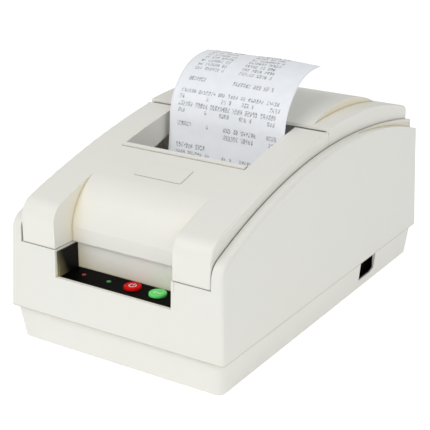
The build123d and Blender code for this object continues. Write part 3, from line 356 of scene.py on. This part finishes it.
finishes = {
    "case_shell": moulded_plastic("case_shell_look", IVORY, IVORY_AGED, 0.45, shade_tints=PAINTED_SHADE_TINTS),
    "cover_shell": moulded_plastic("cover_shell_look", COVER, COVER_AGED, 0.38, shade_tints=PAINTED_SHADE_TINTS),
    "black_plastic": moulded_plastic("black_plastic_look", (0.006, 0.006, 0.007), (0.009, 0.009, 0.009), 0.5,
                                     worn=(0.02, 0.02, 0.02), ior=1.3),
    "grey_plastic": moulded_plastic("grey_plastic_look", (0.42, 0.41, 0.38), (0.44, 0.42, 0.36), 0.5),
    "white_plastic": moulded_plastic("white_plastic_look", (0.78, 0.78, 0.74), (0.78, 0.76, 0.68), 0.35),
    "label_film": moulded_plastic("label_film_look", (0.001, 0.001, 0.001), (0.002, 0.002, 0.002), 0.5,
                                  depth=0.005 * MM, worn=(0.004, 0.004, 0.004), ior=1.1),
    "red_key": moulded_plastic("red_key_look", (0.66, 0.003, 0.003), (0.6, 0.003, 0.003), 0.5,
                               depth=0.006 * MM, worn=(0.7, 0.01, 0.008), ior=1.18),
    "green_key": moulded_plastic("green_key_look", (0.17, 0.84, 0.2), (0.15, 0.8, 0.19), 0.5,
                                 depth=0.006 * MM, worn=(0.22, 0.86, 0.26), ior=1.18),
    "red_lens": lens("red_lens_look", (0.2, 0.006, 0.006), (0.3, 0.01, 0.01)),
    "green_lens": lens("green_lens_look", (0.03, 0.17, 0.05), (0.04, 0.25, 0.06)),
    "circuit_board": circuit_board("circuit_board_look"),
    "plated_steel": sheet_metal("plated_steel_look", (0.62, 0.63, 0.62), 0.38, (0.15, 1, 1)),
    "ground_steel": sheet_metal("ground_steel_look", (0.72, 0.72, 0.73), 0.18, (0.1, 1, 1)),
    "head_metal": sheet_metal("head_metal_look", (0.33, 0.34, 0.35), 0.5, (1, 1, 1), 0.5 * MM),
    "pinion_brass": sheet_metal("pinion_brass_look", (0.72, 0.53, 0.24), 0.3),
    "connector_metal": sheet_metal("connector_metal_look", (0.6, 0.6, 0.58), 0.3),
    "screw_steel": sheet_metal("screw_steel_look", (0.5, 0.5, 0.5), 0.32),
    "cable_film": flat_cable("cable_film_look"),
    "belt_rubber": rubber("belt_rubber_look", (0.015, 0.015, 0.015)),
    "roller_rubber": rubber("roller_rubber_look", (0.05, 0.05, 0.052), 0.6),
    "foot_rubber": rubber("foot_rubber_look", (0.03, 0.03, 0.03), 0.8),
    "ribbon_fabric": inked_ribbon("ribbon_fabric_look"),
    "paper": plain_paper("paper_look", PAPER),
    "core_card": wound_card("core_card_look"),
}

for part in frame["record"]["subparts"]:
    mesh = nodes[part["node"]].data
    mesh.materials.clear()
    mesh.materials.append(finishes[part["material_slot"]])


def dress(material, *names):
    """Give the named CAD pieces a material of their own in place of the one for their slot."""
    for name in names:
        nodes[name].data.materials[0] = material


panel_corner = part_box("control_panel")[0]
parting_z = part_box("upper_case")[0].z
roll_low, roll_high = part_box("paper_roll")
# the control pocket's walls carry painted shade, dark towards the back and top
dress(pocket_painted_shade("pocket_painted_shade_look", panel_corner.y, panel_corner.z, 12 * MM), "control_panel")
# the upper case carries a painted shadow line along its bottom edge at the parting
dress(moulded_plastic("upper_case_look", IVORY, IVORY_AGED, 0.45, shade_tints=PAINTED_SHADE_TINTS, line_z=parting_z),
      "upper_case")
dress(moulded_plastic("switch_black_look", BLACK, WORN_BLACK, 0.7, worn=WORN_BLACK, ior=1.05),
      "rocker_housing", "power_rocker")
dress(wound_paper("paper_roll_look", PAPER, (roll_low + roll_high) / 2), "paper_roll")


# ------------------------------------------------------------------ mesh building
def new_piece(name, bm, material, body, smooth=True):
    """A finished piece from a bmesh, riding on a CAD body."""
    mesh = bpy.data.meshes.new(name)
    bmesh.ops.recalc_face_normals(bm, faces=bm.faces)
    bm.to_mesh(mesh)
    bm.free()
    mesh.materials.append(material)
    for face in mesh.polygons:
        face.use_smooth = smooth
    piece = bpy.data.objects.new(name, mesh)
    bpy.context.scene.collection.objects.link(piece)
    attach(piece, body)
    return piece


def arc(centre, radius, start, end, steps):
    """Level points on an arc about centre, angles in degrees."""
    angles = [math.radians(start + (end - start) * i / steps) for i in range(steps + 1)]
    return [(centre.x + radius * math.cos(a), centre.y + radius * math.sin(a)) for a in angles]


def turned(profile, centre, segments=64):
    """A closed solid turned about a vertical axis from (radius, height) points, bottom to top."""
    bm = bmesh.new()
    rings = []
    for radius, height in profile:
        points = arc(centre, radius, 0, 360, segments)[:-1] if radius else [(centre.x, centre.y)]
        rings.append([bm.verts.new((x, y, height)) for x, y in points])
    for lower, upper in zip(rings, rings[1:]):
        for i in range(segments):
            j = (i + 1) % segments
            below = [lower[i % len(lower)], lower[j % len(lower)]]
            above = [upper[j % len(upper)], upper[i % len(upper)]]
            bm.faces.new(list(dict.fromkeys(below + above)))
    return bm


# ------------------------------------------------------------------ the two keys
RIM, DISH_DEPTH = 1.0 * MM, 0.35 * MM
MARK_HEIGHT = 0.25 * MM


def key_cap(name, node, body, finish):
    """A domed key with a rounded rim, a faint dish in its top and a collar under the panel."""
    low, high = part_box(node)
    centre = (low + high) / 2
    stem, collar = 2 * MM, (high.x - low.x) / 2
    radius = collar - 1.3 * MM
    collar_z, skirt_z = low.z + 2.6 * MM, low.z + 4.1 * MM
    face_z = high.z - 0.1 * MM
    profile = [(0, low.z), (stem, low.z), (stem, collar_z), (collar, collar_z), (collar, skirt_z),
               (radius, skirt_z), (radius, face_z - RIM)]
    rim_steps, dish_steps = 8, 6
    for step in range(1, rim_steps + 1):
        angle = math.pi / 2 * step / rim_steps
        profile.append((radius - RIM * (1 - math.cos(angle)), face_z - RIM * (1 - math.sin(angle))))
    dish_radius = radius - RIM - 0.6 * MM
    for step in range(dish_steps + 1):
        share = 1 - step / dish_steps
        profile.append((dish_radius * share, face_z - DISH_DEPTH * (1 - share ** 2)))
    cap = new_piece(name, turned(profile, centre), finishes[finish], body)
    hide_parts(node)
    return centre, face_z - DISH_DEPTH


def stroke(points, width, z):
    """A flat printed stroke of this width along (x, y) points, as a thin closed solid."""
    bm = bmesh.new()
    rows = []
    for i, (x, y) in enumerate(points):
        a, b = points[max(i - 1, 0)], points[min(i + 1, len(points) - 1)]
        along = Vector((b[0] - a[0], b[1] - a[1])).normalized()
        side = Vector((-along.y, along.x)) * width / 2
        rows.append([bm.verts.new((x + s * side.x, y + s * side.y, z + h))
                     for s, h in ((-1, 0), (1, 0), (1, MARK_HEIGHT), (-1, MARK_HEIGHT))])
    for a, b in zip(rows, rows[1:]):
        for i in range(4):
            bm.faces.new((a[i], a[(i + 1) % 4], b[(i + 1) % 4], b[i]))
    bm.faces.new(rows[0])
    bm.faces.new(reversed(rows[-1]))
    return bm


def merged(*parts):
    """One bmesh from several."""
    whole = bmesh.new()
    for part in parts:
        mesh = bpy.data.meshes.new("part")
        part.to_mesh(mesh)
        part.free()
        whole.from_mesh(mesh)
        bpy.data.meshes.remove(mesh)
    return whole


def around(centre, *offsets):
    """Points at these (x, y) offsets in millimetres from centre."""
    return [(centre.x + x * MM, centre.y + y * MM) for x, y in offsets]


def power_mark(centre, z):
    """An open ring with a bar in its gap."""
    width = 0.55 * MM
    ring = stroke(arc(centre, 2.2 * MM, 125, 415, 24), width, z)
    bar = stroke(around(centre, (0, 0.3), (0, 2.9)), width, z)
    return merged(ring, bar)


def feed_mark(centre, z):
    """A bent arrow that points left."""
    width = 0.5 * MM
    hook = stroke(around(centre, (2.8, 2.0), (2.8, -0.6), (-2.8, -0.6)), width, z)
    head = stroke(around(centre, (-1.2, 1.0), (-3.0, -0.6), (-1.2, -2.2)), width, z)
    return merged(hook, head)


ink_white = light_painted("key_mark_look", (0.85, 0.85, 0.83))
for key, finish, draw in (("power", "red_key", power_mark), ("feed", "green_key", feed_mark)):
    button = f"{key}_button"
    centre, dish_z = key_cap(f"{key}_key", button, button, finish)
    new_piece(f"{key}_mark", draw(centre, dish_z), ink_white, button, smooth=False)


# ------------------------------------------------------------------ printed receipt
COLUMNS, MARGIN = 42, 2  # character columns, and blank ones beside them
CELL_ROWS, ROW_PITCH = 3, 4.2 * MM  # mesh rows in a line of print, and its height
SHEET = 0.1 * MM  # thickness
CUP, RIPPLE, TEAR = 0.9 * MM, 0.25 * MM, 0.35 * MM
# middle of the strip in side view, (Y, Z) in millimetres, from the paper path to the torn end
receipt_line = [(-11.6, 97.0), (-9.6, 112.0), (-8.8, 125.0), (-6.0, 136.0), (0.2, 145.2),
                (8.0, 152.3), (16.5, 157.0), (27.0, 159.6), (39.0, 160.3)]


def between(p, t):
    """Point at t in 0..1 on the smooth curve from the second to the third of four points."""
    bend = 2 * p[0] - 5 * p[1] + 4 * p[2] - p[3]
    twist = 3 * p[1] - p[0] - 3 * p[2] + p[3]
    return 0.5 * ((2 * p[1]) + (p[2] - p[0]) * t + bend * t ** 2 + twist * t ** 3)


def smooth_line(points, step):
    """Points every step along a smooth curve through the given (y, z) points."""
    fine, pieces = [], 40
    for i in range(len(points) - 1):
        four = [Vector(points[min(max(i + k, 0), len(points) - 1)]) for k in (-1, 0, 1, 2)]
        fine += [between(four, j / pieces) for j in range(pieces)]
    fine.append(Vector(points[-1]))
    line, travelled = [fine[0]], 0.0
    for a, b in zip(fine, fine[1:]):
        travelled += (b - a).length
        if travelled >= step:
            line.append(b)
            travelled = 0.0
    return line


def words(rng, first, last):
    """Columns of made-up words between two columns."""
    column = first
    while column < last:
        length = rng.randint(2, 8)
        yield from range(column, min(column + length, last))
        column += length + 1


ITEM = [(1, 40)]
AMOUNTS = [(1, 4), (12, 13), (18, 22), (26, 31), (37, 41)]
HEADING = [(2, 14), (20, 33)]
GAP = []
# spans of columns that hold words, row by row from the torn edge down
LAYOUT = [
    [(0, 40)], *[HEADING] * 7, GAP,
    [(2, 9), (20, 36)], GAP,
    ITEM, AMOUNTS, ITEM, AMOUNTS, GAP,
    [(1, 7), (13, 14), (20, 33), (37, 41)], [(20, 33), (38, 41)], GAP,
    [(1, 13)], [(1, 15), (20, 24), (27, 34), (38, 39)], [(1, 9), (20, 25), (27, 34)],
]


def printed_rows(rng, count):
    """For each row of the strip, the set of columns that hold a mark."""
    rows = []
    for row in range(count):
        spans = LAYOUT[row] if row < len(LAYOUT) else []
        rows.append({column for first, last in spans for column in words(rng, first, last)})
    return rows


def printed_paper(name, tint):
    """Receipt paper with rows of dot marks, where the mesh says a character cell is inked."""
    m, base = paper_stock(name, tint)
    dots_across, dots_down = 6.0, 9.0  # in one character cell, with a blank column and three blank rows
    inked = m.add("ShaderNodeAttribute", attribute_name="inked").outputs["Fac"]
    uv = m.add("ShaderNodeUVMap", uv_map="cells").outputs[0]
    dots = m.add("ShaderNodeVectorMath", operation="MULTIPLY")
    m.put(dots.inputs[0], uv)
    m.put(dots.inputs[1], (dots_across, dots_down, 1.0))
    whole = m.add("ShaderNodeVectorMath", operation="FLOOR")
    m.put(whole.inputs[0], dots.outputs[0])
    hit = m.add("ShaderNodeTexWhiteNoise", noise_dimensions="2D")
    m.put(hit.inputs["Vector"], whole.outputs[0])
    split = m.add("ShaderNodeSeparateXYZ")
    m.put(split.inputs[0], whole.outputs[0])
    in_column = m.calc("GREATER_THAN", m.calc("FLOORED_MODULO", split.outputs[0], dots_across), 0.5)
    in_row = m.calc("GREATER_THAN", m.calc("FLOORED_MODULO", split.outputs[1], dots_down), 2.5)
    struck = m.calc("GREATER_THAN", hit.outputs[0], 0.5)
    ink = m.calc("MULTIPLY", m.calc("MULTIPLY", struck, m.calc("MULTIPLY", in_column, in_row)), inked)
    ink = m.calc("MULTIPLY", ink, m.spread(m.noise(2.5 * MM, 3.0), 0.3, 0.6, 0.65, 0.95))
    shown = m.mix(ink, base, (0.2, 0.2, 0.22))
    # light that the covers throw back on the foot of the strip
    returned = m.spread(m.axes()[2], 118 * MM, 150 * MM, 0.32, 0.1)
    m.surface(base_color=shown, emission_color=shown, emission_strength=returned)
    return m.material


def sheet_side(bm, line, low_x, width, columns, offset):
    """Rows of vertices for one side of the strip, offset from its middle, cupped and torn at its end."""
    last = len(line) - 1
    grid = []
    for i, point in enumerate(line):
        along = (line[min(i + 1, last)] - line[max(i - 1, 0)]).normalized()
        out = Vector((-along.y, along.x))
        far = i / last
        row = []
        for c in range(columns + 1):
            across = 2 * c / columns - 1
            sag = CUP * far * across ** 2 + RIPPLE * math.sin(5 * across + 9 * far) * far
            torn = TEAR if i == last and c % 2 else 0.0
            y = point.x * MM + out.x * (offset - sag) - along.x * torn
            z = point.y * MM + out.y * (offset - sag) - along.y * torn
            row.append(bm.verts.new((low_x + width * c / columns, y, z)))
        grid.append(row)
    return grid


def receipt_sheet():
    """The printed strip, its front inked cell by cell."""
    low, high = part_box("receipt")
    line = smooth_line(receipt_line, ROW_PITCH / MM / CELL_ROWS)
    rows = printed_rows(random.Random(7), len(line) // CELL_ROWS + 1)
    columns, last = COLUMNS + 2 * MARGIN, len(line) - 1
    bm = bmesh.new()
    inked = bm.faces.layers.float.new("inked")
    uv = bm.loops.layers.uv.new("cells")
    sides = []
    for side in (0.5, -0.5):
        grid = sheet_side(bm, line, low.x, high.x - low.x, columns, side * SHEET)
        for i in range(last):
            for c in range(columns):
                corners = ((i, c), (i, c + 1), (i + 1, c + 1), (i + 1, c))
                face = bm.faces.new([grid[r][k] for r, k in corners])
                mark = c - MARGIN in rows[len(rows) - 1 - i // CELL_ROWS]
                face[inked] = 1.0 if side > 0 and mark else 0.0
                for loop, (r, k) in zip(face.loops, corners):
                    loop[uv].uv = (k, r / CELL_ROWS)
        sides.append(grid)
    front, back = sides
    border = [(0, c) for c in range(columns)] + [(i, columns) for i in range(last)]
    border += [(last, c) for c in range(columns, 0, -1)] + [(i, 0) for i in range(last, 0, -1)]
    for (i, c), (j, d) in zip(border, border[1:] + border[:1]):
        bm.faces.new((front[i][c], front[j][d], back[j][d], back[i][c]))
    sheet = new_piece("receipt_sheet", bm, printed_paper("receipt_look", PAPER), "rear_cover")
    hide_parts("receipt")


receipt_sheet()


# ------------------------------------------------------------------ studio
def floor():
    """A plain pale sheet under the printer."""
    bm = bmesh.new()
    bmesh.ops.create_grid(bm, x_segments=1, y_segments=1, size=4.0)
    mesh = bpy.data.meshes.new("floor")
    bm.to_mesh(mesh)
    bm.free()
    m = Maker("floor_look")
    tone = m.spread(m.noise(0.4, 2.0), 0.3, 0.7)
    seen = m.add("ShaderNodeLightPath").outputs["Is Camera Ray"]
    m.surface(base_color=m.mix(tone, (0.90, 0.90, 0.90), (0.92, 0.92, 0.92)), roughness=0.7,
              emission_color=(1, 1, 1), emission_strength=m.spread(seen, 0.0, 1.0, 0.28, 0.5))
    mesh.materials.append(m.material)
    sheet = bpy.data.objects.new("floor", mesh)
    bpy.context.scene.collection.objects.link(sheet)


def softbox(name, place, target, size, watts):
    """A white rectangular light at place that faces target."""
    data = bpy.data.lights.new(name, "AREA")
    data.shape, data.size, data.size_y = "RECTANGLE", size[0], size[1]
    data.energy = watts
    light = bpy.data.objects.new(name, data)
    light.location = place
    light.rotation_mode = "QUATERNION"
    light.rotation_quaternion = (Vector(target) - Vector(place)).to_track_quat("-Z", "Y")
    bpy.context.scene.collection.objects.link(light)


def studio():
    """Three soft lights in a pale room."""
    middle = (0, 0, 0.08)
    softbox("key_light", (-0.4, -1.5, 1.6), middle, (1.5, 1.1), 15.4)
    softbox("top_light", (-0.6, -0.5, 1.8), middle, (1.8, 1.8), 2.2)
    softbox("side_light", (1.5, -0.5, 1.2), middle, (1.4, 1.0), 6)
    world = bpy.data.worlds.new("studio")
    world.use_nodes = True
    sky = world.node_tree.nodes["Background"]
    sky.inputs["Color"].default_value = (1, 1, 1, 1)
    sky.inputs["Strength"].default_value = 0.5
    bpy.context.scene.world = world
    bpy.context.scene.view_settings.view_transform = "Standard"


def camera():
    """The viewing angle: from the front right, a little above, with a long lens."""
    azimuth, elevation = math.radians(32.5), math.radians(20.9)
    data = bpy.data.cameras.new("camera")
    data.lens, data.sensor_width = 97.23, 36.0
    data.clip_start, data.clip_end = 0.05, 20.0
    cam = bpy.data.objects.new("camera", data)
    cam.location = (0.39103, -0.63346, 0.34125)
    back = Vector((math.sin(azimuth) * math.cos(elevation), -math.cos(azimuth) * math.cos(elevation),
                   math.sin(elevation)))
    cam.rotation_mode = "QUATERNION"
    cam.rotation_quaternion = (-back).to_track_quat("-Z", "Y")
    bpy.context.scene.collection.objects.link(cam)
    bpy.context.scene.camera = cam


floor()
studio()
camera()
